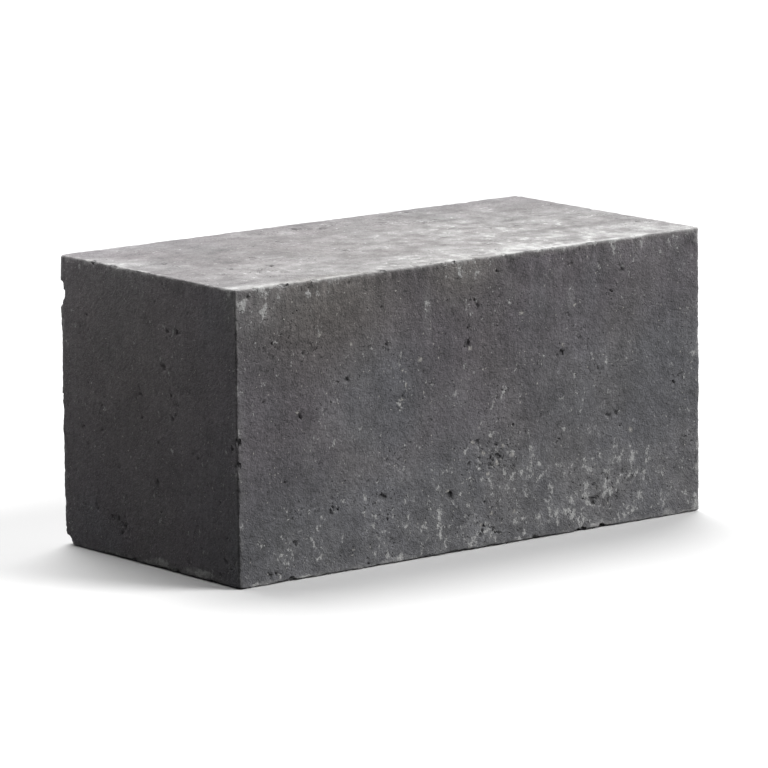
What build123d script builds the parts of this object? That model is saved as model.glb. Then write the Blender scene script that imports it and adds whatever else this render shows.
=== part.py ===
"""Solid concrete wall block for dry-stacked or glued garden walls.

One vibro-pressed piece of anthracite concrete: a plain rectangular prism with no cores, no chamfer
and no tongue, its arrises just rounded off. Handling has broken shell-shaped chips out of its two
left upright arrises and off the corner at the foot of the rear one.
Frame: +X along the wall, +Y from the face side to the rear, +Z up, origin at the middle of the lower bed.
Lengths are in millimetres.
"""

import os

from build123d import *

# The block
LENGTH = 300.0
WIDTH = 150.0
HEIGHT = 150.0

# Rounding of all twelve arrises by mould wear and handling
ARRIS_RADIUS = 1.5

# Chip in the rear left arris, near the top
REAR_CHIP_TALL = 16.0
REAR_CHIP_DEEP = 3.6
REAR_CHIP_BELOW_TOP = 20.0

# Two nicks in the front left arris, near half height
UPPER_NICK_TALL = 7.0
UPPER_NICK_DEEP = 2.0
UPPER_NICK_ABOVE_BED = 74.0
LOWER_NICK_TALL = 5.0
LOWER_NICK_DEEP = 2.2
LOWER_NICK_ABOVE_BED = 62.0

# Corner broken off at the foot of the rear left arris, a little hollower than a flat break
CORNER_CHIP_TALL = 8.0
CORNER_CHIP_HOLLOW = 0.8

# The arris lines, before they are rounded
LEFT = -LENGTH / 2
FRONT = -WIDTH / 2
REAR = WIDTH / 2


def make_block():
    """The prism on its lower bed, with every arris rounded."""
    block = Box(LENGTH, WIDTH, HEIGHT, align=(Align.CENTER, Align.CENTER, Align.MIN))
    return fillet(block.edges(), ARRIS_RADIUS)


def make_scoop(middle, outward, reach, hollow):
    """The ball that leaves a chip round a point of an upright arris, or round its foot.

    The break ends `reach` from the point, measured along the arris. At its deepest it is `hollow`
    below the straight line between those ends or, at the foot, below the flat break between the
    three arrises that meet there.
    """
    outward = Vector(*outward).normalized()
    lean = abs(outward.Z)
    deep = reach * lean + hollow
    radius = (reach**2 + deep**2 - 2 * reach * deep * lean) / (2 * hollow)
    centre = Vector(*middle) + outward * (radius - deep)
    return Pos(centre) * Sphere(radius)


def make_chips():
    """The scoops of all the chips."""
    front_outward = (-1, -1, 0)
    rear_outward = (-1, 1, 0)
    foot_outward = (-1, 1, -1)
    rear_chip_height = HEIGHT - REAR_CHIP_BELOW_TOP
    return [
        make_scoop((LEFT, REAR, rear_chip_height), rear_outward, REAR_CHIP_TALL / 2, REAR_CHIP_DEEP),
        make_scoop((LEFT, FRONT, UPPER_NICK_ABOVE_BED), front_outward, UPPER_NICK_TALL / 2, UPPER_NICK_DEEP),
        make_scoop((LEFT, FRONT, LOWER_NICK_ABOVE_BED), front_outward, LOWER_NICK_TALL / 2, LOWER_NICK_DEEP),
        make_scoop((LEFT, REAR, 0), foot_outward, CORNER_CHIP_TALL, CORNER_CHIP_HOLLOW),
    ]


os.makedirs("parts", exist_ok=True)
export_step(make_block() - make_chips(), "parts/wall_block.step")
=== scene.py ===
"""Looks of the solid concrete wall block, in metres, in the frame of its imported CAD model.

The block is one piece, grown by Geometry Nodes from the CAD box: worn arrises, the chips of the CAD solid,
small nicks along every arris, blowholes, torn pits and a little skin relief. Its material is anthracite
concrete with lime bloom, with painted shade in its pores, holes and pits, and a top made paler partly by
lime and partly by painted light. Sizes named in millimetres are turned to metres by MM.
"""

import math

import bpy
import numpy as np
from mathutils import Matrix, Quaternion, Vector


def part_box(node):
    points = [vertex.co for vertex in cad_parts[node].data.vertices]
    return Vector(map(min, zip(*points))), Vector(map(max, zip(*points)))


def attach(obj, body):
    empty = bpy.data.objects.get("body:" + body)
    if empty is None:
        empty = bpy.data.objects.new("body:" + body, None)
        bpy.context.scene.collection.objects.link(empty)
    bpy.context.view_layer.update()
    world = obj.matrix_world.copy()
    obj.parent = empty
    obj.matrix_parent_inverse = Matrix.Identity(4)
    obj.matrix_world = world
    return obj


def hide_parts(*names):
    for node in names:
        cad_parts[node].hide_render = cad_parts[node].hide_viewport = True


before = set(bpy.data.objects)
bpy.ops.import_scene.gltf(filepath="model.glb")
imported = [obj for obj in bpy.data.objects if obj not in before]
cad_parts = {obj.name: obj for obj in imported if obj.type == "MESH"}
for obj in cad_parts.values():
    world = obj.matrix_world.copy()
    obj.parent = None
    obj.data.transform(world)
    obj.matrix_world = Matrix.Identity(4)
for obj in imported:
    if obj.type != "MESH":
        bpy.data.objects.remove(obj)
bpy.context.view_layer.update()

# A millimetre in metres, and the seed of every random draw
MM = 0.001
SEED = 7

# The CAD block
LOW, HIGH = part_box("wall_block")
SIZE = HIGH - LOW
CENTRE = (LOW + HIGH) / 2
LEFT_MM = LOW.x / MM
FRONT_MM = LOW.y / MM
REAR_MM = HIGH.y / MM
TOP_MM = HIGH.z / MM

# Arrises: mean radius, how far wear swings it, and over what length
ARRIS_RADIUS_MM = 1.2
ARRIS_WEAR_MM = 6.0
WEAR_WIDTH_MM = 14.0

# The chips of the CAD solid: middle on the arris, outward, reach along the arris, hollow below the flat break
CHIPS_MM = {
    "Rear chip": ((LEFT_MM, REAR_MM, TOP_MM - 20.0), (-1, 1, 0), 8.0, 3.6),
    "Upper nick": ((LEFT_MM, FRONT_MM, 74.0), (-1, -1, 0), 3.5, 2.0),
    "Lower nick": ((LEFT_MM, FRONT_MM, 62.0), (-1, -1, 0), 2.5, 2.2),
    "Corner chip": ((LEFT_MM, REAR_MM, 0.0), (-1, 1, -1), 8.0, 0.8),
}

# How far broken edges and holes stray from round, and over what width
RAGGEDNESS_MM = 5.0
RAGGED_WIDTH_MM = 3.0

# Small nicks along all the arrises: the large ones are deep, those on upright arrises shallower, and a higher
# power of chance makes more of them small
NICK_SPACING_MM = 8.0
NICK_RADIUS_MM = (1.0, 6.0)
NICK_DEPTH_MM = (0.3, 2.2)
UPRIGHT_NICK_SHARE = 0.6
SMALL_NICK_POWER = 3.0

# Blowholes: those that show by themselves, as place on the face, the end or the top and reach, and the
# scattered ones, of which a higher power of chance makes more small
FACE_HOLES_MM = [
    ((-5.0, 106.0), 2.0),
    ((54.6, 94.0), 2.0),
    ((56.8, 94.6), 1.6),
    ((-82.0, 97.0), 1.6),
    ((-112.0, 82.0), 1.5),
    ((-61.0, 35.0), 1.7),
    ((-59.0, 34.7), 1.5),
    ((-115.0, 19.0), 1.6),
    ((77.0, 15.0), 1.9),
    ((-17.0, 30.0), 1.8),
]
END_HOLES_MM = [
    ((-26.0, 123.0), 1.8),
    ((-14.0, 103.0), 1.6),
    ((-21.0, 78.0), 1.3),
    ((27.0, 20.0), 1.6),
    ((24.5, 18.5), 1.3),
]
TOP_HOLES_MM = [
    ((-112.0, -20.0), 2.0),
    ((-91.0, -25.0), 2.2),
    ((-82.0, 2.0), 1.8),
    ((-10.0, 62.0), 2.2),
    ((4.0, 55.0), 1.6),
]
HOLE_SPACING_MM = 7.0
HOLES_PER_SQUARE_METRE = 500.0
HOLE_REACH_MM = (0.4, 1.5)
HOLE_DEPTH_SHARE = 0.65
HOLE_RAGGED_SHARE = 1.3
SMALL_HOLE_POWER = 2.5

# Torn pits where the skin is open: width, depth, where their pattern breaks through closed and open skin,
# and how far past that a pit has its full depth
PIT_WIDTH_MM = 4.5
PIT_DEPTH_MM = 0.8
PIT_EDGES = (0.69, 0.565)
PIT_RAMP = 0.05

# Places where the skin is open: middle, reach, and how open. By chance it is open elsewhere too: the width of
# such a place, where its pattern starts to open the skin and has opened it, and how open it then is.
OPEN_WIDTH_MM = 24.0
OPEN_START = 0.5
OPEN_FULL = 0.7
OPEN_MOST = 0.8
OPEN_PATCHES_MM = {
    "middle of the face": ((12.0, FRONT_MM, 47.0), (30.0, 12.0, 22.0), 1.0),
    "left foot of the face": ((-62.0, FRONT_MM, 33.0), (34.0, 12.0, 24.0), 0.7),
    "middle foot of the face": ((4.0, FRONT_MM, 12.0), (34.0, 12.0, 18.0), 0.8),
    "right foot of the face": ((88.0, FRONT_MM, 22.0), (46.0, 12.0, 24.0), 0.8),
    "upper left of the face": ((-118.0, FRONT_MM, 122.0), (40.0, 12.0, 30.0), 0.6),
    "upper middle of the face": ((10.0, FRONT_MM, 126.0), (50.0, 12.0, 30.0), 0.55),
    "left of the middle": ((-42.0, FRONT_MM, 84.0), (26.0, 12.0, 28.0), 0.6),
    "right of the middle": ((82.0, FRONT_MM, 78.0), (36.0, 12.0, 26.0), 0.55),
    "rear of the top": ((0.0, 58.0, TOP_MM), (60.0, 26.0, 12.0), 0.7),
    "foot of the end": ((LEFT_MM, 26.0, 19.0), (12.0, 20.0, 14.0), 0.9),
    "upper part of the end": ((LEFT_MM, -20.0, 100.0), (12.0, 30.0, 40.0), 0.4),
}

# Share of its reach in which a patch of any kind has its full strength, before it fades
PATCH_CORE = 0.1

# Skin of the pressed faces: width of a wave and its depth
SKIN_WAVES_MM = {"Swell": (30.0, 0.25), "Sand": (4.0, 0.25)}

# Grid of the raw mesh, the triangles that are kept of it, and the angle from which its edges look sharp
GRID_MM = 0.6
TRIANGLES = 190_000
SHARP_DEGREES = 50.0


def linear(hex_colour):
    """An sRGB hex colour as linear red, green, blue and alpha."""
    channels = [int(hex_colour[i : i + 2], 16) / 255 for i in (1, 3, 5)]
    return *[c / 12.92 if c <= 0.04045 else ((c + 0.055) / 1.055) ** 2.4 for c in channels], 1.0


def add(tree, kind, inputs=(), take=None, **settings):
    """Adds a node with its settings and inputs, given in order or by name, and returns one of its outputs."""
    node = tree.nodes.new(kind)
    for name, value in settings.items():
        setattr(node, name, value)
    shown = [s for s in node.inputs if s.enabled]
    by_name = {s.name: s for s in reversed(shown)}
    pairs = inputs.items() if isinstance(inputs, dict) else enumerate(inputs)
    for key, value in pairs:
        socket = by_name[key] if isinstance(key, str) else shown[key]
        if isinstance(value, bpy.types.NodeSocket):
            tree.links.new(value, socket)
        else:
            socket.default_value = value
    return next((s for s in node.outputs if s.enabled and take in (None, s.name)), None)


def chip_ball(middle, outward, reach, hollow):
    """Centre and radius of the ball that scoops a chip, worked out as in the CAD solid."""
    outward = Vector(outward).normalized()
    lean = abs(outward.z)
    deep = reach * lean + hollow
    radius = (reach**2 + deep**2 - 2 * reach * deep * lean) / (2 * hollow)
    return (Vector(middle) + outward * (radius - deep)) * MM, radius * MM


def open_inputs(tree, inputs):
    """Gives a tree its named inputs and returns their sockets by name."""
    kinds = {float: "NodeSocketFloat", int: "NodeSocketInt", Vector: "NodeSocketVector"}
    for name, value in inputs.items():
        kind = kinds.get(type(value), "NodeSocketMaterial")
        tree.interface.new_socket(name, in_out="INPUT", socket_type=kind)
    return tree.nodes.new("NodeGroupInput").outputs


def spread_patches(tree, place, patches, least):
    """How strong a marking is at a point: the strongest of its patches there, or the least."""
    most = least
    for middle, reach, strength in patches.values():
        offset = add(tree, "ShaderNodeVectorMath", [place, middle], operation="SUBTRACT")
        share = add(tree, "ShaderNodeVectorMath", [offset, reach], operation="DIVIDE")
        away = add(tree, "ShaderNodeVectorMath", [share], take="Value", operation="LENGTH")
        fade = {"Value": away, "From Min": PATCH_CORE, "From Max": 1.0, "To Min": strength, "To Max": 0.0}
        patch = add(tree, "ShaderNodeMapRange", fade, interpolation_type="SMOOTHSTEP")
        most = add(tree, "ShaderNodeMath", [most, patch], operation="MAXIMUM")
    return most


def openness(tree, place):
    """How open the skin is at a point in mm, from 0 to 1. The shape and the finish both go by it."""
    waves = {"Vector": place, "Scale": 1 / OPEN_WIDTH_MM, "Detail": 2.0, "Roughness": 0.6}
    wander = add(tree, "ShaderNodeTexNoise", waves)
    span = {"Value": wander, "From Min": OPEN_START, "From Max": OPEN_FULL, "To Max": OPEN_MOST}
    chance = add(tree, "ShaderNodeMapRange", span)
    return spread_patches(tree, place, OPEN_PATCHES_MM, chance)


def round_arrises(tree, given, place):
    """Draws the corners of the box in to a radius that wanders along each arris."""
    waves = {"Vector": place, "Scale": 1 / (WEAR_WIDTH_MM * MM), "Detail": 4.0, "Roughness": 0.65}
    wander = add(tree, "ShaderNodeTexNoise", waves)
    swing = add(tree, "ShaderNodeMath", [wander, 0.5], operation="SUBTRACT")
    worn = [swing, given["Arris wear"], given["Arris radius"]]
    radius = add(tree, "ShaderNodeMath", worn, operation="MULTIPLY_ADD")
    half = add(tree, "ShaderNodeVectorMath", {"Vector": given["Size"], "Scale": 0.5}, operation="SCALE")
    inner = add(tree, "ShaderNodeVectorMath", [half, radius], operation="SUBTRACT")
    opposite = add(tree, "ShaderNodeVectorMath", {"Vector": inner, "Scale": -1.0}, operation="SCALE")
    below = add(tree, "ShaderNodeVectorMath", [place, inner], operation="MINIMUM")
    core = add(tree, "ShaderNodeVectorMath", [below, opposite], operation="MAXIMUM")
    stand_off = add(tree, "ShaderNodeVectorMath", [place, core], operation="SUBTRACT")
    outward = add(tree, "ShaderNodeVectorMath", [stand_off], operation="NORMALIZE")
    reach = add(tree, "ShaderNodeVectorMath", {"Vector": outward, "Scale": radius}, operation="SCALE")
    return add(tree, "ShaderNodeVectorMath", [core, reach]), outward


def stray_off(tree, given, place):
    """How far a point strays from its place, so that what is cut round it comes out ragged."""
    waves = {"Vector": place, "Scale": 1 / (RAGGED_WIDTH_MM * MM), "Detail": 3.0, "Roughness": 0.6}
    shake = add(tree, "ShaderNodeTexNoise", waves, take="Color")
    centred = add(tree, "ShaderNodeVectorMath", [shake, (0.5, 0.5, 0.5)], operation="SUBTRACT")
    far = {"Vector": centred, "Scale": given["Raggedness"]}
    return add(tree, "ShaderNodeVectorMath", far, operation="SCALE")


def scoop(tree, point, stray, centre, radius):
    """Pushes what lies inside a ragged ball out to its surface; returns the new point and how far it went."""
    ragged = add(tree, "ShaderNodeVectorMath", [point, stray])
    arm = add(tree, "ShaderNodeVectorMath", [ragged, centre], operation="SUBTRACT")
    away = add(tree, "ShaderNodeVectorMath", [arm], take="Value", operation="LENGTH")
    went = add(tree, "ShaderNodeMath", [radius, away], operation="SUBTRACT")
    depth = add(tree, "ShaderNodeMath", [went, 0.0], operation="MAXIMUM")
    along = add(tree, "ShaderNodeVectorMath", [arm], operation="NORMALIZE")
    push = add(tree, "ShaderNodeVectorMath", {"Vector": along, "Scale": depth}, operation="SCALE")
    return add(tree, "ShaderNodeVectorMath", [point, push]), depth


def sink(tree, point, outward, depth):
    """Moves a point of the skin inwards by a depth."""
    push = add(tree, "ShaderNodeVectorMath", {"Vector": outward, "Scale": depth}, operation="SCALE")
    return add(tree, "ShaderNodeVectorMath", [point, push], operation="SUBTRACT")


def scatter_nicks(tree, given):
    """Points along the twelve arrises: each the centre of a small ball that breaks the edge."""
    box = add(tree, "GeometryNodeMeshCube", {"Size": given["Size"]})
    arrises = add(tree, "GeometryNodeMeshToCurve", [box])
    steps = {"Curve": arrises, "Length": given["Nick spacing"]}
    spaced = add(tree, "GeometryNodeCurveToPoints", steps, mode="LENGTH")
    tangent = spaced.node.outputs["Tangent"]
    chance = add(tree, "FunctionNodeRandomValue", {"Seed": given["Seed"]}, data_type="FLOAT")
    small_first = add(tree, "ShaderNodeMath", [chance, SMALL_NICK_POWER], operation="POWER")
    bounds = {"Value": small_first, "To Min": given["Smallest nick"], "To Max": given["Largest nick"]}
    radius = add(tree, "ShaderNodeMapRange", bounds)
    sized = add(tree, "GeometryNodeSetPointRadius", {"Points": spaced, "Radius": radius})
    place = add(tree, "GeometryNodeInputPosition")
    own_radius = add(tree, "GeometryNodeInputRadius")
    span = add(tree, "ShaderNodeMath", [given["Nick spacing"], -1.0], operation="MULTIPLY")
    next_seed = add(tree, "ShaderNodeMath", [given["Seed"], 1.0])
    slides = {"Min": span, "Max": given["Nick spacing"], "Seed": next_seed}
    slide = add(tree, "FunctionNodeRandomValue", slides, data_type="FLOAT")
    slid = add(tree, "ShaderNodeVectorMath", {"Vector": tangent, "Scale": slide}, operation="SCALE")
    share = add(tree, "ShaderNodeVectorMath", [place, given["Size"]], operation="DIVIDE")
    signs = add(tree, "ShaderNodeVectorMath", {"Vector": share, "Scale": 2.0}, operation="SCALE")
    # Cubed three times, the two axes across the arris stay at 1 or -1, and the one along it falls to about 0
    for _ in range(3):
        square = add(tree, "ShaderNodeVectorMath", [signs, signs], operation="MULTIPLY")
        signs = add(tree, "ShaderNodeVectorMath", [square, signs], operation="MULTIPLY")
    outward = add(tree, "ShaderNodeVectorMath", [signs], operation="NORMALIZE")
    depths = {"Value": small_first, "To Min": given["Shallowest nick"], "To Max": given["Deepest nick"]}
    full = add(tree, "ShaderNodeMapRange", depths)
    rise = add(tree, "ShaderNodeSeparateXYZ", [tangent], take="Z")
    upright = add(tree, "ShaderNodeMath", [rise], operation="ABSOLUTE")
    shares = {"Value": upright, "To Min": 1.0, "To Max": given["Upright nick share"]}
    bite = add(tree, "ShaderNodeMath", [full, add(tree, "ShaderNodeMapRange", shares)], operation="MULTIPLY")
    stand_off = add(tree, "ShaderNodeMath", [own_radius, bite], operation="SUBTRACT")
    lift = add(tree, "ShaderNodeVectorMath", {"Vector": outward, "Scale": stand_off}, operation="SCALE")
    offset = add(tree, "ShaderNodeVectorMath", [slid, lift])
    return add(tree, "GeometryNodeSetPosition", {"Geometry": sized, "Offset": offset})


def nearest_ball(tree, points, place):
    """Centre and radius of the nearest of a cloud of points."""
    index = add(tree, "GeometryNodeSampleNearest", [points, place], domain="POINT")
    centre = add(
        tree,
        "GeometryNodeSampleIndex",
        {"Geometry": points, "Value": add(tree, "GeometryNodeInputPosition"), "Index": index},
        data_type="FLOAT_VECTOR",
        domain="POINT",
    )
    radius = add(
        tree,
        "GeometryNodeSampleIndex",
        {"Geometry": points, "Value": add(tree, "GeometryNodeInputRadius"), "Index": index},
        data_type="FLOAT",
        domain="POINT",
    )
    return centre, radius


def scatter_holes(tree, given, shown_holes):
    """Blowholes as points: the ones given, and a seeded scatter over all six faces."""
    box = add(tree, "GeometryNodeMeshCube", {"Size": given["Size"]})
    spread = {
        "Mesh": box,
        "Distance Min": given["Hole spacing"],
        "Density Max": given["Holes per square metre"],
        "Seed": given["Seed"],
    }
    loose = add(tree, "GeometryNodeDistributePointsOnFaces", spread, distribute_method="POISSON")
    chance = add(tree, "FunctionNodeRandomValue", {"Seed": given["Seed"]}, data_type="FLOAT")
    small_first = add(tree, "ShaderNodeMath", [chance, SMALL_HOLE_POWER], operation="POWER")
    bounds = {"Value": small_first, "To Min": given["Smallest hole"], "To Max": given["Largest hole"]}
    reach = add(tree, "ShaderNodeMapRange", bounds)
    holes = add(tree, "GeometryNodeSetPointRadius", {"Points": loose, "Radius": reach})
    joined = add(tree, "GeometryNodeJoinGeometry", [holes])
    for place, hole_reach in shown_holes:
        point = add(tree, "GeometryNodePoints", {"Count": 1, "Position": place, "Radius": hole_reach})
        tree.links.new(point, joined.node.inputs[0])
    return joined


def hole_depth(tree, given, holes, point, stray):
    """How deep the ragged bowl of the nearest blowhole is at a point."""
    centre, reach = nearest_ball(tree, holes, point)
    shaken = [stray, given["Hole ragged share"], point]
    ragged = add(tree, "ShaderNodeVectorMath", shaken, operation="MULTIPLY_ADD")
    apart = add(tree, "ShaderNodeVectorMath", [ragged, centre], take="Value", operation="DISTANCE")
    share = add(tree, "ShaderNodeMath", [apart, reach], operation="DIVIDE")
    square = add(tree, "ShaderNodeMath", [share, share], operation="MULTIPLY")
    rest = add(tree, "ShaderNodeMath", [1.0, square], operation="SUBTRACT")
    inside = add(tree, "ShaderNodeMath", [rest, 0.0], operation="MAXIMUM")
    bowl = add(tree, "ShaderNodeMath", [inside], operation="SQRT")
    full = add(tree, "ShaderNodeMath", [reach, given["Hole depth share"]], operation="MULTIPLY")
    return add(tree, "ShaderNodeMath", [bowl, full], operation="MULTIPLY")


def pit_depth(tree, given, place):
    """How deep the torn pits are at a point: none where the skin is closed, many where it is open."""
    moved = add(tree, "ShaderNodeVectorMath", [place, given["Middle"]])
    place_mm = add(tree, "ShaderNodeVectorMath", {"Vector": moved, "Scale": 1 / MM}, operation="SCALE")
    edges = {"Value": openness(tree, place_mm), "To Min": PIT_EDGES[0], "To Max": PIT_EDGES[1]}
    edge = add(tree, "ShaderNodeMapRange", edges)
    waves = {"Vector": place, "Scale": 1 / (PIT_WIDTH_MM * MM), "Detail": 4.0, "Roughness": 0.7}
    torn = add(tree, "ShaderNodeTexNoise", waves)
    over = add(tree, "ShaderNodeMath", [torn, edge], operation="SUBTRACT")
    deep = {"Value": over, "From Max": PIT_RAMP, "To Max": given["Pit depth"]}
    return add(tree, "ShaderNodeMapRange", deep)


def build_block_tree(inputs, chips, shown_holes):
    """The Geometry Nodes tree of the block, from the raw box to the finished skin."""
    tree = bpy.data.node_groups.new("pressed_block", "GeometryNodeTree")
    given = open_inputs(tree, inputs)
    tree.interface.new_socket("Block", in_out="OUTPUT", socket_type="NodeSocketGeometry")

    cells = add(tree, "ShaderNodeVectorMath", [given["Size"], given["Grid"]], operation="DIVIDE")
    counts = add(tree, "ShaderNodeSeparateXYZ", [cells]).node.outputs
    raw = add(tree, "GeometryNodeMeshCube", [given["Size"], counts["X"], counts["Y"], counts["Z"]])

    place = add(tree, "GeometryNodeInputPosition")
    point, outward = round_arrises(tree, given, place)

    for name, (wave, _) in SKIN_WAVES_MM.items():
        ripple = add(tree, "ShaderNodeTexNoise", {"Vector": place, "Scale": 1 / (wave * MM), "Detail": 2.0})
        depth = add(tree, "ShaderNodeMath", [ripple, given[name]], operation="MULTIPLY")
        point = sink(tree, point, outward, depth)

    stray = stray_off(tree, given, place)
    broken = 0.0
    nicks = nearest_ball(tree, scatter_nicks(tree, given), point)
    for centre, radius in [nicks, *[(given[name], given[name + " radius"]) for name in chips]]:
        point, depth = scoop(tree, point, stray, centre, radius)
        broken = add(tree, "ShaderNodeMath", [broken, depth])

    holes = hole_depth(tree, given, scatter_holes(tree, given, shown_holes), point, stray)
    hollow = add(tree, "ShaderNodeMath", [holes, pit_depth(tree, given, place)], operation="MAXIMUM")
    point = sink(tree, point, outward, hollow)

    kept = raw
    for name, length in {"broken": broken, "hollow": hollow}.items():
        length_mm = add(tree, "ShaderNodeMath", [length, MM], operation="DIVIDE")
        facts = {"Geometry": kept, "Name": name, "Value": length_mm}
        kept = add(tree, "GeometryNodeStoreNamedAttribute", facts, data_type="FLOAT", domain="POINT")
    lifted = add(tree, "ShaderNodeVectorMath", [point, given["Middle"]])
    shaped = add(tree, "GeometryNodeSetPosition", {"Geometry": kept, "Position": lifted})
    realized = add(tree, "GeometryNodeRealizeInstances", [shaped])
    painted = add(tree, "GeometryNodeSetMaterial", {"Geometry": realized, "Material": given["Concrete"]})
    add(tree, "NodeGroupOutput", [painted])
    return tree


# The six faces of the block on one square sheet: the axis and side they lie on, the axes that run across and
# up them, their corner on the sheet, and their scale, which is less for the bed
SHEET_MM = 460.0
SHEET_FACES = {
    "face": (1, -1, 0, 2, (0, 0), 1.0),
    "left end": (0, -1, 1, 2, (305, 0), 1.0),
    "back": (1, 1, 0, 2, (0, 155), 1.0),
    "right end": (0, 1, 1, 2, (305, 155), 1.0),
    "top": (2, 1, 0, 1, (0, 310), 1.0),
    "lower bed": (2, -1, 0, 1, (305, 310), 0.5),
}


def unfold(mesh):
    """Keeps the mesh in the CAD box and maps its six faces side by side, each polygon with the nearest."""
    spots = np.zeros(len(mesh.vertices) * 3)
    mesh.vertices.foreach_get("co", spots)
    mesh.vertices.foreach_set("co", np.clip(spots.reshape(-1, 3), LOW, HIGH).ravel())
    corners = np.zeros(len(mesh.loops), dtype=int)
    mesh.loops.foreach_get("vertex_index", corners)
    counts = np.zeros(len(mesh.polygons), dtype=int)
    mesh.polygons.foreach_get("loop_total", counts)
    spots = spots.reshape(-1, 3)[corners]
    owner = np.repeat(np.arange(len(counts)), counts)
    middles = np.stack([np.bincount(owner, spots[:, axis]) for axis in range(3)], 1) / counts[:, None]
    from_low = middles - np.array(LOW)
    from_high = np.array(HIGH) - middles
    gaps = [(from_high if side > 0 else from_low)[:, axis] for axis, side, *_ in SHEET_FACES.values()]
    nearest = np.argmin(gaps, axis=0)[owner]
    sheet = np.zeros((len(corners), 2))
    for number, (_, _, across, up, corner, scale) in enumerate(SHEET_FACES.values()):
        mine = nearest == number
        flat = spots[mine][:, [across, up]] - np.array(LOW)[[across, up]]
        sheet[mine] = (flat / MM * scale + corner) / SHEET_MM
    mesh.uv_layers.new(name="OFBake").data.foreach_set("uv", sheet.ravel())


def make_block(concrete):
    """The finished block as one plain mesh object."""
    chips = {name: chip_ball(*facts) for name, facts in CHIPS_MM.items()}
    inputs = {
        "Size": SIZE,
        "Middle": CENTRE,
        "Grid": GRID_MM * MM,
        "Arris radius": ARRIS_RADIUS_MM * MM,
        "Arris wear": ARRIS_WEAR_MM * MM,
        "Nick spacing": NICK_SPACING_MM * MM,
        "Smallest nick": NICK_RADIUS_MM[0] * MM,
        "Largest nick": NICK_RADIUS_MM[1] * MM,
        "Shallowest nick": NICK_DEPTH_MM[0] * MM,
        "Deepest nick": NICK_DEPTH_MM[1] * MM,
        "Upright nick share": UPRIGHT_NICK_SHARE,
        "Raggedness": RAGGEDNESS_MM * MM,
        "Hole spacing": HOLE_SPACING_MM * MM,
        "Holes per square metre": HOLES_PER_SQUARE_METRE,
        "Smallest hole": HOLE_REACH_MM[0] * MM,
        "Largest hole": HOLE_REACH_MM[1] * MM,
        "Hole depth share": HOLE_DEPTH_SHARE,
        "Hole ragged share": HOLE_RAGGED_SHARE,
        "Pit depth": PIT_DEPTH_MM * MM,
        "Seed": SEED,
        "Concrete": concrete,
    }
    for name, (_, depth) in SKIN_WAVES_MM.items():
        inputs[name] = depth * MM
    for name, (centre, radius) in chips.items():
        inputs[name] = centre - CENTRE
        inputs[name + " radius"] = radius
    holes_mm = [((x, FRONT_MM, z), reach) for (x, z), reach in FACE_HOLES_MM]
    holes_mm += [((LEFT_MM, y, z), reach) for (y, z), reach in END_HOLES_MM]
    holes_mm += [((x, y, TOP_MM), reach) for (x, y), reach in TOP_HOLES_MM]
    shown_holes = [(Vector(place) * MM - CENTRE, reach * MM) for place, reach in holes_mm]

    tree = build_block_tree(inputs, chips, shown_holes)
    raw = bpy.data.objects.new("raw_block", bpy.data.meshes.new("raw_block"))
    bpy.context.scene.collection.objects.link(raw)
    grown = raw.modifiers.new("pressed_block", "NODES")
    grown.node_group = tree
    for socket in tree.interface.items_tree:
        if socket.in_out == "INPUT":
            value = inputs[socket.name]
            grown[socket.identifier] = value[:] if isinstance(value, Vector) else value
    cells = sum(SIZE[a] * SIZE[b] for a, b in [(0, 1), (0, 2), (1, 2)]) * 2 / (GRID_MM * MM) ** 2
    thinned = raw.modifiers.new("thinned", "DECIMATE")
    thinned.ratio = TRIANGLES / (2 * cells)
    seen = raw.evaluated_get(bpy.context.evaluated_depsgraph_get())
    mesh = bpy.data.meshes.new_from_object(seen)
    bpy.data.objects.remove(raw)
    mesh.name = "concrete_block"
    mesh.shade_smooth()
    mesh.set_sharp_from_angle(angle=math.radians(SHARP_DEGREES))
    unfold(mesh)
    block = bpy.data.objects.new("concrete_block", mesh)
    bpy.context.scene.collection.objects.link(block)
    return block


# Patterns of the concrete: width of one blotch in mm along X, Y and Z, octaves of finer detail, and how much
# of each octave is left in the next. The grain stands for fine sand, drawn coarser so that it shows.
PATTERNS_MM = {
    "mottle": ((45.0, 45.0, 45.0), 5.0, 0.95),
    "tint": ((55.0, 55.0, 70.0), 2.0, 0.6),
    "bloom": ((52.0, 52.0, 40.0), 3.0, 0.6),
    "blotch": ((11.0, 11.0, 11.0), 4.0, 0.6),
    "drag": ((2.4, 2.4, 28.0), 4.0, 0.7),
    "smear": ((6.5, 6.5, 30.0), 3.0, 0.6),
    "comb": ((4.0, 4.0, 14.0), 3.0, 0.6),
    "tamp": ((24.0, 6.0, 6.0), 3.0, 0.6),
    "rub": ((7.0, 7.0, 7.0), 5.0, 0.7),
    "tick": ((4.2, 4.2, 5.6), 4.0, 0.75),
    "fleck": ((1.6, 1.6, 1.6), 1.0, 0.6),
    "pit": ((1.6, 1.6, 1.8), 2.0, 0.6),
    "sand": ((2.0, 2.0, 2.0), 3.0, 0.6),
    "grain": ((0.75, 0.75, 0.75), 2.0, 0.6),
}

# How far the patterns swing the brightness of the paste: all over, on upright faces, below the top and on it,
# and how far one sand grain differs from the next
BRIGHTNESS = {"mottle": 2.2, "sand": 0.5, "grain": 1.0}
UPRIGHT_BRIGHTNESS = {"drag": 0.3, "smear": 0.7}
COMB_BRIGHTNESS = 3.0
TAMP_BRIGHTNESS = 1.0
SAND_SHADE = 0.4

# How deep the patterns and pores lie in the skin
RELIEF_MM = {"sand": 0.6, "grain": 0.35, "drag": 0.1, "blotch": 0.4}
PORE_DEPTH_MM = 0.6

# Colours of the paste and of what lies in and on it
PASTE = "#5B575B"
WARM_PASTE = "#5D5957"
COOL_PASTE = "#58585C"
PALE_GRAIN = "#B0ADA8"
# Pale lime, also laid on the top as painted light
LIME_AND_PAINTED_LIGHT = "#BBBBBA"
RUBBED = "#B4B3B2"
# Painted shade in pores, holes and pits
PAINTED_PORE_SHADE = "#2A292A"
BREAK = "#464547"

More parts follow.
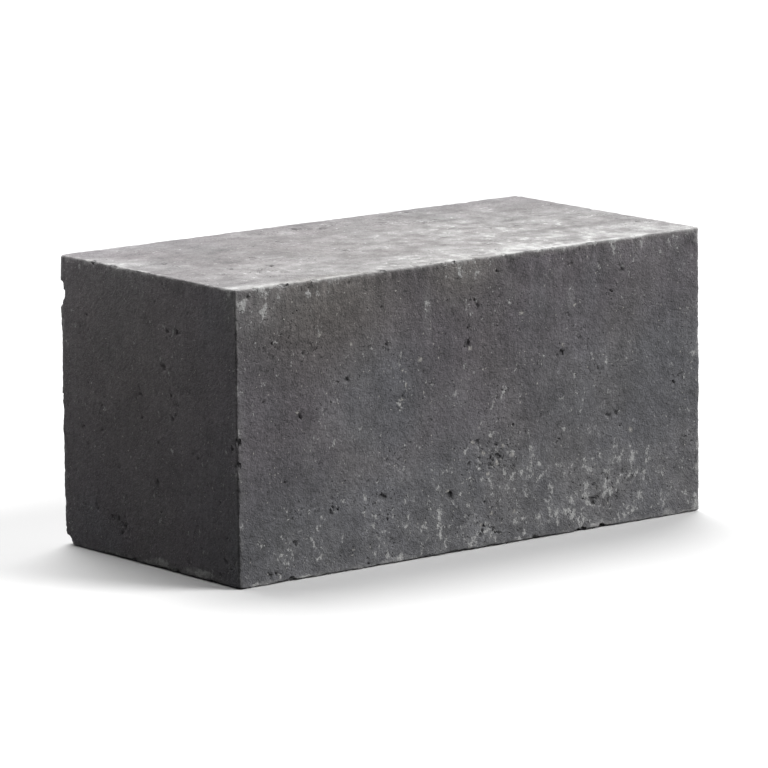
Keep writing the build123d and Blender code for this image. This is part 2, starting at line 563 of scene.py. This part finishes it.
# How a pattern grades into a marking: the pattern, where the marking starts and is full, its least and most
GRADES = {
    "loose grains": ("fleck", 0.735, 0.77, 0.0, 0.8),
    "strewn lime": ("bloom", 0.5, 0.68, 0.08, 0.6),
    "patchy lime": ("blotch", 0.37, 0.63, 0.2, 1.6),
    "touched arrises": ("bloom", 0.42, 0.58, 0.12, 0.6),
    "warmer paste": ("tint", 0.5, 0.65, 0.0, 0.25),
    "cooler paste": ("tint", 0.5, 0.35, 0.0, 0.5),
    "roughness": ("blotch", 0.0, 1.0, 0.78, 0.98),
}

# Where pores and lime ticks break through their pattern: the edge on plain skin, how far it falls on open or
# limed skin, how far past it they are full, and how well they then cover. The pores are painted with shade.
PORE_EDGE = (0.685, 0.09, 0.06, 0.8)
TICK_EDGE = (0.675, 0.125, 0.06, 0.78)

# Breaks and holes: the depth from which they are darkest, and how well the dark then covers. In holes and
# pits the dark is painted shade, deeper with depth.
SHADES_MM = {"broken": (0.5, 0.7), "hollow": (0.9, 0.5)}

# The thin film of lime: how much of the patchiness of thick lime it has, how much lies evenly, and its share
# on upright faces and on the top. The larger share on the top is partly lime and partly painted light.
FILM_PATCHINESS = 0.7
FILM_EVENNESS = 0.27
FILM_SHARE = 0.15
TOP_FILM_AND_PAINTED_LIGHT_SHARE = 0.5

# Sand: spacing of the grains, and how far their outlines wobble, in spacings
SAND_SPACING_MM = 1.2
SAND_WOBBLE = 0.7

# How far rubbing reaches from an arris and wanders, and where combing starts and is full below the top
RUB_REACH_MM = 2.4
RUB_WANDER_MM = 14.0
COMB_REACH_MM = 16.0
COMB_FULL_MM = 1.0

# Heights below the top between which its own finish fades in
TOP_FADE_MM = (2.0, 0.6)

# Pale grains: depth, how far their outlines fray, how well they cover, and those that show by themselves, as
# place on the face and reach
GRAIN_DEPTH_MM = 3.0
GRAIN_FRAY_MM = 4.0
GRAIN_COVER = 0.9
PALE_GRAINS_MM = [
    ((31.0, 118.0), 2.2),
    ((-35.0, 102.0), 1.9),
    ((-98.0, 122.0), 1.7),
    ((-79.0, 115.0), 1.3),
    ((-113.0, 84.5), 1.5),
    ((-3.0, 104.0), 1.5),
    ((-18.0, 32.5), 1.5),
    ((25.0, 16.0), 1.7),
    ((58.0, 98.5), 1.4),
    ((103.0, 49.0), 1.8),
    ((66.0, 118.0), 1.3),
    ((-2.0, 55.0), 1.5),
    ((5.0, 49.0), 1.7),
    ((10.0, 57.0), 1.5),
    ((14.0, 43.0), 1.8),
    ((18.0, 51.0), 1.6),
    ((24.0, 46.0), 1.6),
    ((8.0, 38.0), 1.5),
    ((3.0, 12.0), 1.6),
    ((10.0, 17.0), 1.5),
    ((-46.0, 98.0), 1.3),
    ((-44.0, 90.0), 1.4),
    ((-47.0, 83.0), 1.3),
]

# Places where the paste is cooler and where it is warmer: middle, reach, and how much. By chance it is so
# elsewhere too, but less.
COOL_PATCHES_MM = {
    "foot of the face": ((30.0, FRONT_MM, 0.0), (420.0, 20.0, 95.0), 1.6),
    "right of the face": ((150.0, FRONT_MM, 60.0), (190.0, 20.0, 80.0), 1.5),
    "left of the middle of the face": ((-60.0, FRONT_MM, 82.0), (50.0, 20.0, 55.0), 1.3),
}
WARM_PATCHES_MM = {
    "upper left of the face": ((-95.0, FRONT_MM, 145.0), (85.0, 20.0, 65.0), 1.0),
    "upper part of the end": ((LEFT_MM, 20.0, 110.0), (20.0, 110.0, 110.0), 0.5),
    "middle of the upper arris": ((-8.0, FRONT_MM, 150.0), (42.0, 20.0, 36.0), 1.0),
    "top": ((20.0, -20.0, TOP_MM), (400.0, 200.0, 6.0), 0.6),
}

# Lime bloom: middle and reach of each patch in mm, and how thick it lies. The patches on the top are partly
# lime and partly painted light, which makes the whole top paler.
LIME_AND_PAINTED_LIGHT_PATCHES_MM = {
    "right foot of the face": ((90.0, FRONT_MM, 23.0), (60.0, 30.0, 38.0), 1.2),
    "lower half of the face": ((45.0, FRONT_MM, 0.0), (260.0, 20.0, 100.0), 0.9),
    "right half of the face": ((75.0, FRONT_MM, 80.0), (120.0, 20.0, 75.0), 0.42),
    "right margin of the face": ((150.0, FRONT_MM, 75.0), (32.0, 20.0, 110.0), 0.55),
    "upper left corner of the face": ((-150.0, FRONT_MM, 150.0), (80.0, 20.0, 40.0), 1.0),
    "left margin of the face": ((-150.0, FRONT_MM, 70.0), (9.0, 9.0, 120.0), 0.5),
    "upper right of the face": ((115.0, FRONT_MM, 150.0), (70.0, 20.0, 34.0), 0.75),
    "middle smear of the face": ((-30.0, FRONT_MM, 126.0), (5.0, 8.0, 22.0), 1.0),
    "slanted smear of the face": ((-14.0, FRONT_MM, 145.0), (9.0, 8.0, 9.0), 0.9),
    "middle of the upper arris": ((-8.0, FRONT_MM, 150.0), (32.0, 10.0, 24.0), 0.95),
    "right smear of the face": ((63.0, FRONT_MM, 123.0), (5.0, 8.0, 12.0), 1.2),
    "left smear of the face": ((-105.0, FRONT_MM, 62.0), (9.0, 8.0, 24.0), 0.6),
    "scratch on the face": ((-71.0, FRONT_MM, 28.0), (2.5, 8.0, 26.0), 1.2),
    "upright dash on the face": ((87.0, FRONT_MM, 86.0), (3.0, 8.0, 8.0), 1.2),
    "left foot of the face": ((-105.0, FRONT_MM, 12.0), (60.0, 20.0, 42.0), 0.7),
    "upright smear at the left foot": ((-92.0, FRONT_MM, 22.0), (14.0, 8.0, 20.0), 0.9),
    "left foot arris": ((-115.0, FRONT_MM, 0.0), (45.0, 5.0, 4.0), 1.8),
    "middle foot arris": ((28.0, FRONT_MM, 0.0), (24.0, 5.0, 3.5), 1.4),
    "right foot corner": ((146.0, FRONT_MM, 4.0), (14.0, 8.0, 12.0), 1.2),
    "foot arris of the end": ((LEFT_MM, 0.0, 0.0), (5.0, 80.0, 4.5), 1.8),
    "middle dash at the foot of the end": ((LEFT_MM, -8.0, 3.4), (5.0, 11.0, 4.0), 2.6),
    "front dash at the foot of the end": ((LEFT_MM, -42.0, 3.0), (5.0, 22.0, 3.6), 2.6),
    "rear margin of the end": ((LEFT_MM, REAR_MM, 125.0), (14.0, 26.0, 60.0), 0.4),
    "front arris of the top": ((75.0, FRONT_MM, TOP_MM), (130.0, 8.0, 3.5), 1.7),
    # Partly lime bloom and partly painted light, which lightens the top
    "front of the top": ((70.0, FRONT_MM, TOP_MM), (270.0, 90.0, 5.0), 0.97),
    "middle of the top": ((70.0, -10.0, TOP_MM), (210.0, 110.0, 5.0), 0.66),
    "whole of the top": ((75.0, 0.0, TOP_MM), (330.0, 300.0, 5.0), 0.34),
    "left of the top": ((-90.0, -40.0, TOP_MM), (110.0, 60.0, 5.0), 0.55),
}


def distance_to_arris(tree, place):
    """How far a point of the skin lies from the nearest arris, in mm: the middle one of its three insets."""
    from_middle = add(tree, "ShaderNodeVectorMath", [place, CENTRE / MM], operation="SUBTRACT")
    beside = add(tree, "ShaderNodeVectorMath", [from_middle], operation="ABSOLUTE")
    inset = add(tree, "ShaderNodeVectorMath", [SIZE / MM / 2, beside], operation="SUBTRACT")
    x, y, z = add(tree, "ShaderNodeSeparateXYZ", [inset]).node.outputs
    ends = []
    for pick in ("MINIMUM", "MAXIMUM"):
        either = add(tree, "ShaderNodeMath", [x, y], operation=pick)
        ends.append(add(tree, "ShaderNodeMath", [either, z], operation=pick))
    total = add(tree, "ShaderNodeMath", [add(tree, "ShaderNodeMath", [x, y]), z])
    rest = add(tree, "ShaderNodeMath", [total, ends[0]], operation="SUBTRACT")
    return add(tree, "ShaderNodeMath", [rest, ends[1]], operation="SUBTRACT")


def swing_brightness(tree, pattern, on_top, combed):
    """Brightness of the paste about 1: mottle and grain all over, and marks of the mould and the tamper."""
    upright = add(tree, "ShaderNodeMath", [1.0, on_top], operation="SUBTRACT")
    swings = [(name, swing, None) for name, swing in BRIGHTNESS.items()]
    swings += [(name, swing, upright) for name, swing in UPRIGHT_BRIGHTNESS.items()]
    swings += [("comb", COMB_BRIGHTNESS, combed), ("tamp", TAMP_BRIGHTNESS, on_top)]
    bright = 1.0
    for name, swing, where in swings:
        centred = add(tree, "ShaderNodeMath", [pattern[name], 0.5], operation="SUBTRACT")
        if where:
            centred = add(tree, "ShaderNodeMath", [centred, where], operation="MULTIPLY")
        bright = add(tree, "ShaderNodeMath", [centred, swing, bright], operation="MULTIPLY_ADD")
    return bright


def shade_sand(tree, pattern, place):
    """Brightness of the single sand grains about 1."""
    wobble = {"Vector": pattern["grain"].node.outputs["Color"], "Scale": SAND_WOBBLE}
    stray = add(tree, "ShaderNodeVectorMath", wobble, operation="SCALE")
    spacing = {"Vector": place, "Scale": 1 / SAND_SPACING_MM}
    cells = add(tree, "ShaderNodeVectorMath", spacing, operation="SCALE")
    shaken = add(tree, "ShaderNodeVectorMath", [cells, stray])
    grains = add(tree, "ShaderNodeTexVoronoi", {"Vector": shaken, "Scale": 1.0}, take="Color")
    chance = add(tree, "ShaderNodeSeparateColor", [grains], take="Red")
    shades = {"Value": chance, "To Min": 1 - SAND_SHADE / 2, "To Max": 1 + SAND_SHADE / 2}
    return add(tree, "ShaderNodeMapRange", shades)


def break_through(tree, pattern, favoured, edge):
    """How well a marking covers: none below its edge in the pattern, which falls where it is favoured."""
    start, fall, ramp, cover = edge
    least = add(tree, "ShaderNodeMath", [favoured, -fall, start], operation="MULTIPLY_ADD")
    over = add(tree, "ShaderNodeMath", [pattern, least], operation="SUBTRACT")
    return add(tree, "ShaderNodeMapRange", {"Value": over, "From Max": ramp, "To Max": cover})


def spread_grains(tree, pattern, grade, place):
    """How well pale grains cover: loose ones by chance, and the frayed ones that show by themselves."""
    shown = {}
    for (x, z), reach in PALE_GRAINS_MM:
        shown[x, z] = ((x, FRONT_MM, z), (reach, GRAIN_DEPTH_MM, reach), GRAIN_COVER)
    widen = (GRAIN_FRAY_MM,) * 3
    centre = (-GRAIN_FRAY_MM / 2,) * 3
    fray = [pattern["sand"].node.outputs["Color"], widen, centre]
    frayed = add(tree, "ShaderNodeVectorMath", fray, operation="MULTIPLY_ADD")
    strayed = add(tree, "ShaderNodeVectorMath", [place, frayed])
    return spread_patches(tree, strayed, shown, grade["loose grains"])


def spread_lime_and_painted_light(tree, pattern, grade, place, on_top, opened):
    """How well lime covers: as a thin film, and as thick ticks, which also come where the skin is open. On
    the top the film is partly painted light.
    """
    lime_and_light_lying = spread_patches(tree, place, LIME_AND_PAINTED_LIGHT_PATCHES_MM, grade["strewn lime"])
    patchy = grade["patchy lime"]
    even = add(tree, "ShaderNodeMath", [patchy, FILM_PATCHINESS, FILM_EVENNESS], operation="MULTIPLY_ADD")
    thin = add(tree, "ShaderNodeMath", [lime_and_light_lying, even], operation="MULTIPLY")
    shares = {"Value": on_top, "To Min": FILM_SHARE, "To Max": TOP_FILM_AND_PAINTED_LIGHT_SHARE}
    film_and_painted_light = add(tree, "ShaderNodeMath", [thin, add(tree, "ShaderNodeMapRange", shares)], operation="MULTIPLY")
    thick = add(tree, "ShaderNodeMath", [lime_and_light_lying, patchy], operation="MULTIPLY")
    crusted = add(tree, "ShaderNodeMath", [thick, opened], operation="MAXIMUM")
    return film_and_painted_light, break_through(tree, pattern["tick"], crusted, TICK_EDGE)


def rub_arrises(tree, pattern, grade, place):
    """How well the pale rubbing of the arrises covers. It wanders along them, and comes and goes."""
    wander = [pattern["rub"], RUB_WANDER_MM, distance_to_arris(tree, place)]
    stray = add(tree, "ShaderNodeMath", wander, operation="MULTIPLY_ADD")
    middle = RUB_WANDER_MM / 2
    span = {"From Min": RUB_REACH_MM + middle, "From Max": middle, "To Max": grade["touched arrises"]}
    return add(tree, "ShaderNodeMapRange", {"Value": stray, **span})


def lay_coats(tree, colour, coats):
    """Lays coats over a colour, each with its own colour and how well it covers."""
    for coat, cover in coats:
        mix = {"Factor": cover, "A": colour, "B": linear(coat)}
        colour = add(tree, "ShaderNodeMix", mix, data_type="RGBA")
    return colour


def concrete_material():
    """Vibro-pressed concrete, through-coloured anthracite.

    Matt and sandy, a little uneven in tone, with upright streaks where the mould was drawn off, pores
    between the grains, a few pale grains, pale rubbed arrises and lime bloom. The pores, holes and pits are
    painted with shade, and on the top the lime film is partly painted light.
    """
    material = bpy.data.materials.new("vibro_pressed_anthracite_concrete")
    material.use_nodes = True
    tree = material.node_tree
    tree.nodes.clear()
    metres = add(tree, "ShaderNodeTexCoord", take="Object")
    place = add(tree, "ShaderNodeVectorMath", {"Vector": metres, "Scale": 1 / MM}, operation="SCALE")

    pattern = {}
    for name, (width, octaves, left) in PATTERNS_MM.items():
        cells = add(tree, "ShaderNodeVectorMath", [place, width], operation="DIVIDE")
        waves = {"Vector": cells, "Scale": 1.0, "Detail": octaves, "Roughness": left}
        pattern[name] = add(tree, "ShaderNodeTexNoise", waves)
    grade = {}
    for name, (source, start, full, least, most) in GRADES.items():
        span = {"From Min": start, "From Max": full, "To Min": least, "To Max": most}
        grade[name] = add(tree, "ShaderNodeMapRange", {"Value": pattern[source], **span})
    # Breaks darkened, and holes and pits painted with shade, by their depth
    shade = {}
    for name, (darkest, cover) in SHADES_MM.items():
        depth = add(tree, "ShaderNodeAttribute", take="Fac", attribute_name=name)
        shade[name] = add(tree, "ShaderNodeMapRange", {"Value": depth, "From Max": darkest, "To Max": cover})

    height = add(tree, "ShaderNodeSeparateXYZ", [place], take="Z")
    rise = {"Value": height, "From Min": TOP_MM - TOP_FADE_MM[0], "From Max": TOP_MM - TOP_FADE_MM[1]}
    on_top = add(tree, "ShaderNodeMapRange", rise, interpolation_type="SMOOTHSTEP")
    under = {"Value": height, "From Min": TOP_MM - COMB_REACH_MM, "From Max": TOP_MM - COMB_FULL_MM}
    below_top = add(tree, "ShaderNodeMapRange", under)
    combed = add(tree, "ShaderNodeMath", [below_top, on_top], operation="SUBTRACT")
    uneven = swing_brightness(tree, pattern, on_top, combed)
    bright = add(tree, "ShaderNodeMath", [uneven, shade_sand(tree, pattern, place)], operation="MULTIPLY")

    opened = openness(tree, place)
    # Pores: painted shade in them, and a dip in the bump
    pore_and_shade = break_through(tree, pattern["pit"], opened, PORE_EDGE)
    pale_grain = spread_grains(tree, pattern, grade, place)
    film_and_painted_light, ticks = spread_lime_and_painted_light(tree, pattern, grade, place, on_top, opened)
    whole = add(tree, "ShaderNodeMath", [1.0, shade["broken"]], operation="SUBTRACT")
    worn = rub_arrises(tree, pattern, grade, place)
    rubbed = add(tree, "ShaderNodeMath", [worn, whole], operation="MULTIPLY")
    cool = spread_patches(tree, place, COOL_PATCHES_MM, grade["cooler paste"])
    warm = spread_patches(tree, place, WARM_PATCHES_MM, grade["warmer paste"])

    paste = lay_coats(tree, linear(PASTE), [(COOL_PASTE, cool), (WARM_PASTE, warm)])
    toned = add(tree, "ShaderNodeVectorMath", {"Vector": paste, "Scale": bright}, operation="SCALE")
    # The lime film on the top is partly painted light
    coats = [(BREAK, shade["broken"]), (PALE_GRAIN, pale_grain), (LIME_AND_PAINTED_LIGHT, film_and_painted_light), (LIME_AND_PAINTED_LIGHT, ticks)]
    # Pores, holes and pits painted dark: painted shade in them
    coats += [(RUBBED, rubbed), (PAINTED_PORE_SHADE, pore_and_shade), (PAINTED_PORE_SHADE, shade["hollow"])]
    colour = lay_coats(tree, toned, coats)

    relief = add(tree, "ShaderNodeMath", [pore_and_shade, -PORE_DEPTH_MM], operation="MULTIPLY")
    for name, depth in RELIEF_MM.items():
        relief = add(tree, "ShaderNodeMath", [pattern[name], depth, relief], operation="MULTIPLY_ADD")
    normal = add(tree, "ShaderNodeBump", {"Height": relief, "Strength": 1.0, "Distance": MM})
    skin = {"Base Color": colour, "Roughness": grade["roughness"], "IOR": 1.5, "Normal": normal}
    add(tree, "ShaderNodeOutputMaterial", [add(tree, "ShaderNodeBsdfPrincipled", skin)])
    return material


def seen_rays(tree):
    """1 for the rays that see the backdrop, straight or by reflection or refraction, and 0 for its light."""
    rays = add(tree, "ShaderNodeLightPath").node.outputs
    seen = rays["Is Camera Ray"]
    for kind in ("Is Glossy Ray", "Is Transmission Ray"):
        seen = add(tree, "ShaderNodeMath", [seen, rays[kind]], operation="MAXIMUM")
    return seen


# The floor: reach to each side in metres, gap below the block, and its colours to light and to the camera
FLOOR_REACH = 20.0
FLOOR_GAP_MM = 0.2
FLOOR_DULL = "#202020"
FLOOR_PALE = "#D4D4D4"


def make_floor():
    """A pale floor that looks white to the camera and throws little light back."""
    material = bpy.data.materials.new("studio_floor")
    material.use_nodes = True
    tree = material.node_tree
    tree.nodes.clear()
    dull = add(tree, "ShaderNodeBsdfDiffuse", {"Color": linear(FLOOR_DULL)})
    pale = add(tree, "ShaderNodeBsdfDiffuse", {"Color": linear(FLOOR_PALE)})
    both = add(tree, "ShaderNodeMixShader", [seen_rays(tree), dull, pale])
    add(tree, "ShaderNodeOutputMaterial", [both])
    mesh = bpy.data.meshes.new("floor")
    height = LOW.z - FLOOR_GAP_MM * MM
    corners = [(-1, -1), (1, -1), (1, 1), (-1, 1)]
    mesh.from_pydata([(x * FLOOR_REACH, y * FLOOR_REACH, height) for x, y in corners], [], [(0, 1, 2, 3)])
    mesh.materials.append(material)
    floor = bpy.data.objects.new("floor", mesh)
    bpy.context.scene.collection.objects.link(floor)


def from_bearing(azimuth, elevation):
    """The direction from the block to a lamp or camera at this azimuth and elevation in degrees."""
    a, e = math.radians(azimuth), math.radians(elevation)
    return Vector((math.sin(a) * math.cos(e), -math.cos(a) * math.cos(e), math.sin(e)))


# Distant lamps: azimuth and elevation in degrees, strength, and apparent size in degrees
LAMPS = {
    "overhead": (150.0, 60.0, 4.1, 40.0),
    "key": (45.0, 38.0, 3.7, 30.0),
}

# Strength of the world's light on the block; to the camera it is white
WORLD_STRENGTH = 0.02

# A small soft lamp above and beyond the left end, towards the rear: place and side in metres, and power
END_LAMP_PLACE = Vector((-0.265, 0.12, 0.345))
END_LAMP_SIDE = 0.2
END_LAMP_POWER = 0.365

# Camera at the photograph's viewing angle, with the block across most of the frame: degrees, metres and mm
CAMERA_AZIMUTH = -37.87
CAMERA_ELEVATION = 10.33
CAMERA_ROLL = 0.65
CAMERA_DISTANCE = 3.2
CAMERA_LENS = 291.0


def make_lamps():
    """Soft studio light: the distant lamps, and the small one at the left end."""
    for name, (azimuth, elevation, strength, spread) in LAMPS.items():
        data = bpy.data.lights.new(name, "SUN")
        data.energy = strength
        data.angle = math.radians(spread)
        lamp = bpy.data.objects.new(name, data)
        lamp.rotation_euler = from_bearing(azimuth, elevation).to_track_quat("Z", "Y").to_euler()
        bpy.context.scene.collection.objects.link(lamp)
    data = bpy.data.lights.new("end_lamp", "AREA")
    data.size = END_LAMP_SIDE
    data.energy = END_LAMP_POWER
    lamp = bpy.data.objects.new("end_lamp", data)
    lamp.location = END_LAMP_PLACE
    lamp.rotation_euler = (END_LAMP_PLACE - CENTRE).to_track_quat("Z", "Y").to_euler()
    lamp.visible_camera = False
    bpy.context.scene.collection.objects.link(lamp)


def make_world():
    """An even world that looks white to the camera."""
    world = bpy.data.worlds.new("studio")
    bpy.context.scene.world = world
    world.use_nodes = True
    tree = world.node_tree
    tree.nodes.clear()
    levels = {"Value": seen_rays(tree), "To Min": WORLD_STRENGTH, "To Max": 1.0}
    strength = add(tree, "ShaderNodeMapRange", levels)
    glow = add(tree, "ShaderNodeBackground", {"Color": (1, 1, 1, 1), "Strength": strength})
    add(tree, "ShaderNodeOutputWorld", [glow])


def make_camera():
    """The camera, aimed at the middle of the block."""
    data = bpy.data.cameras.new("camera")
    data.lens = CAMERA_LENS
    camera = bpy.data.objects.new("camera", data)
    back = from_bearing(CAMERA_AZIMUTH, CAMERA_ELEVATION)
    camera.location = CENTRE + back * CAMERA_DISTANCE
    level = back.to_track_quat("Z", "Y")
    camera.rotation_euler = (level @ Quaternion((0, 0, 1), -math.radians(CAMERA_ROLL))).to_euler()
    bpy.context.scene.collection.objects.link(camera)
    bpy.context.scene.camera = camera


bpy.context.scene.view_settings.view_transform = "Standard"
make_floor()
make_lamps()
make_world()
make_camera()

block = make_block(concrete_material())
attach(block, "root")
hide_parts("wall_block")
